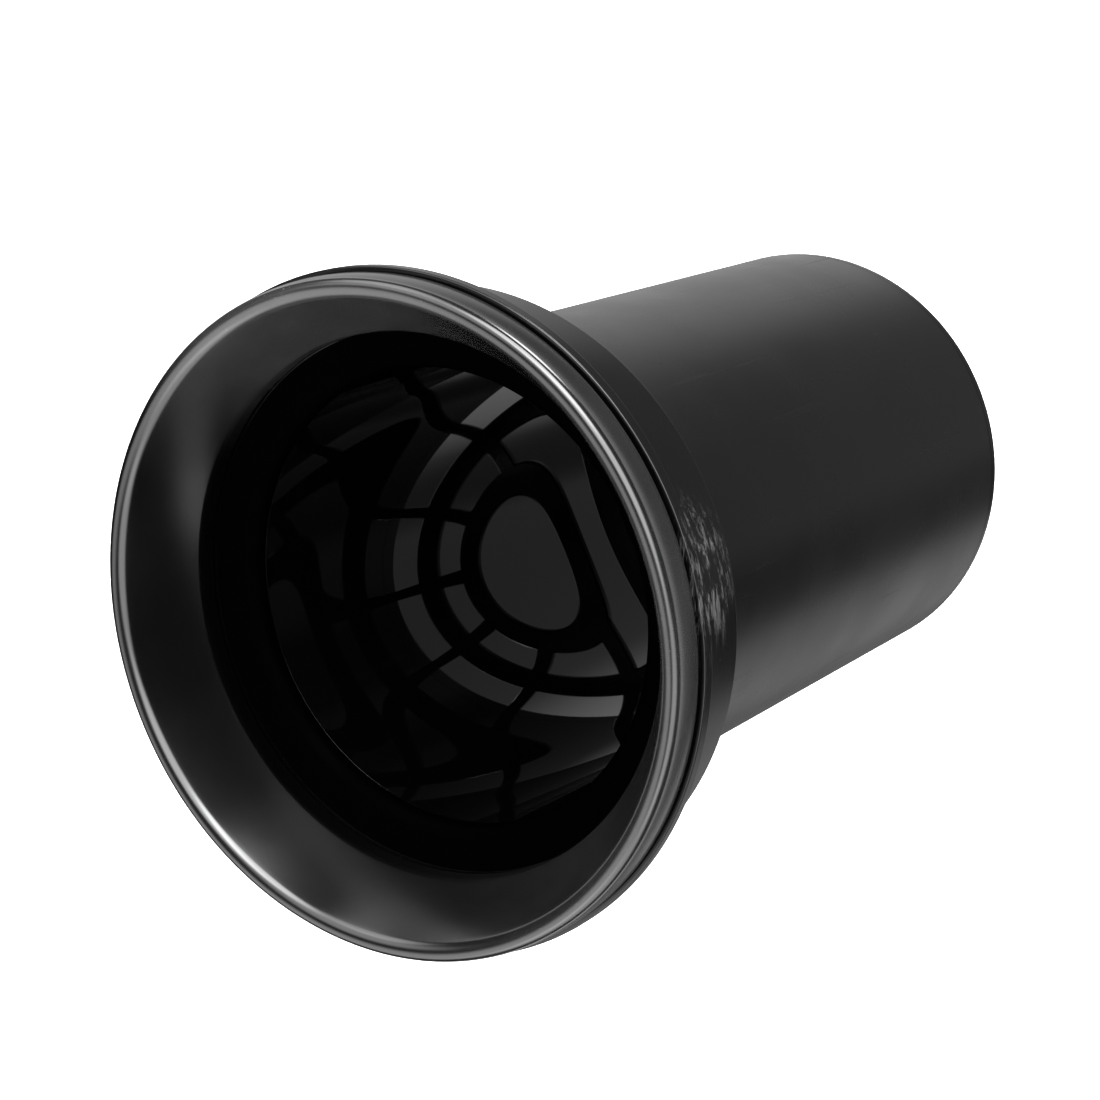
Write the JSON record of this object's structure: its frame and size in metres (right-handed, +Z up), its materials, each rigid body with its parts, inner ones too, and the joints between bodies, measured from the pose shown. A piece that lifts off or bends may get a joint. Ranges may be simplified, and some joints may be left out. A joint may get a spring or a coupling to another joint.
{
  "type": "flared port tube",
  "caption": "Flared port tube: glossy bell mouth in a flanged baffle collar, straight round duct and a spoked guard across the tail.",
  "frame": {"origin": "on the tube's axis, in the plane of the flange's rear face that seats on the baffle", "axes": "+Y along the tube's axis from the mouth towards the tail, +Z up, +X to the right seen from the mouth's side"},
  "size_m": [0.15, 0.2, 0.15],
  "materials": {
    "bell_plastic": "glossy moulded black ABS, satin inside the flare",
    "collar_plastic": "glossy moulded black ABS with light handling scuffs",
    "tube_plastic": "extruded black ABS, satin outside and mirror glossy in the bore",
    "grille_plastic": "glossy moulded black ABS"
  },
  "bodies": {
    "root": {"bell_flare": "bell_plastic", "baffle_collar": "collar_plastic", "port_tube": "tube_plastic", "end_grille": "grille_plastic"}
  },
  "joints": []
}
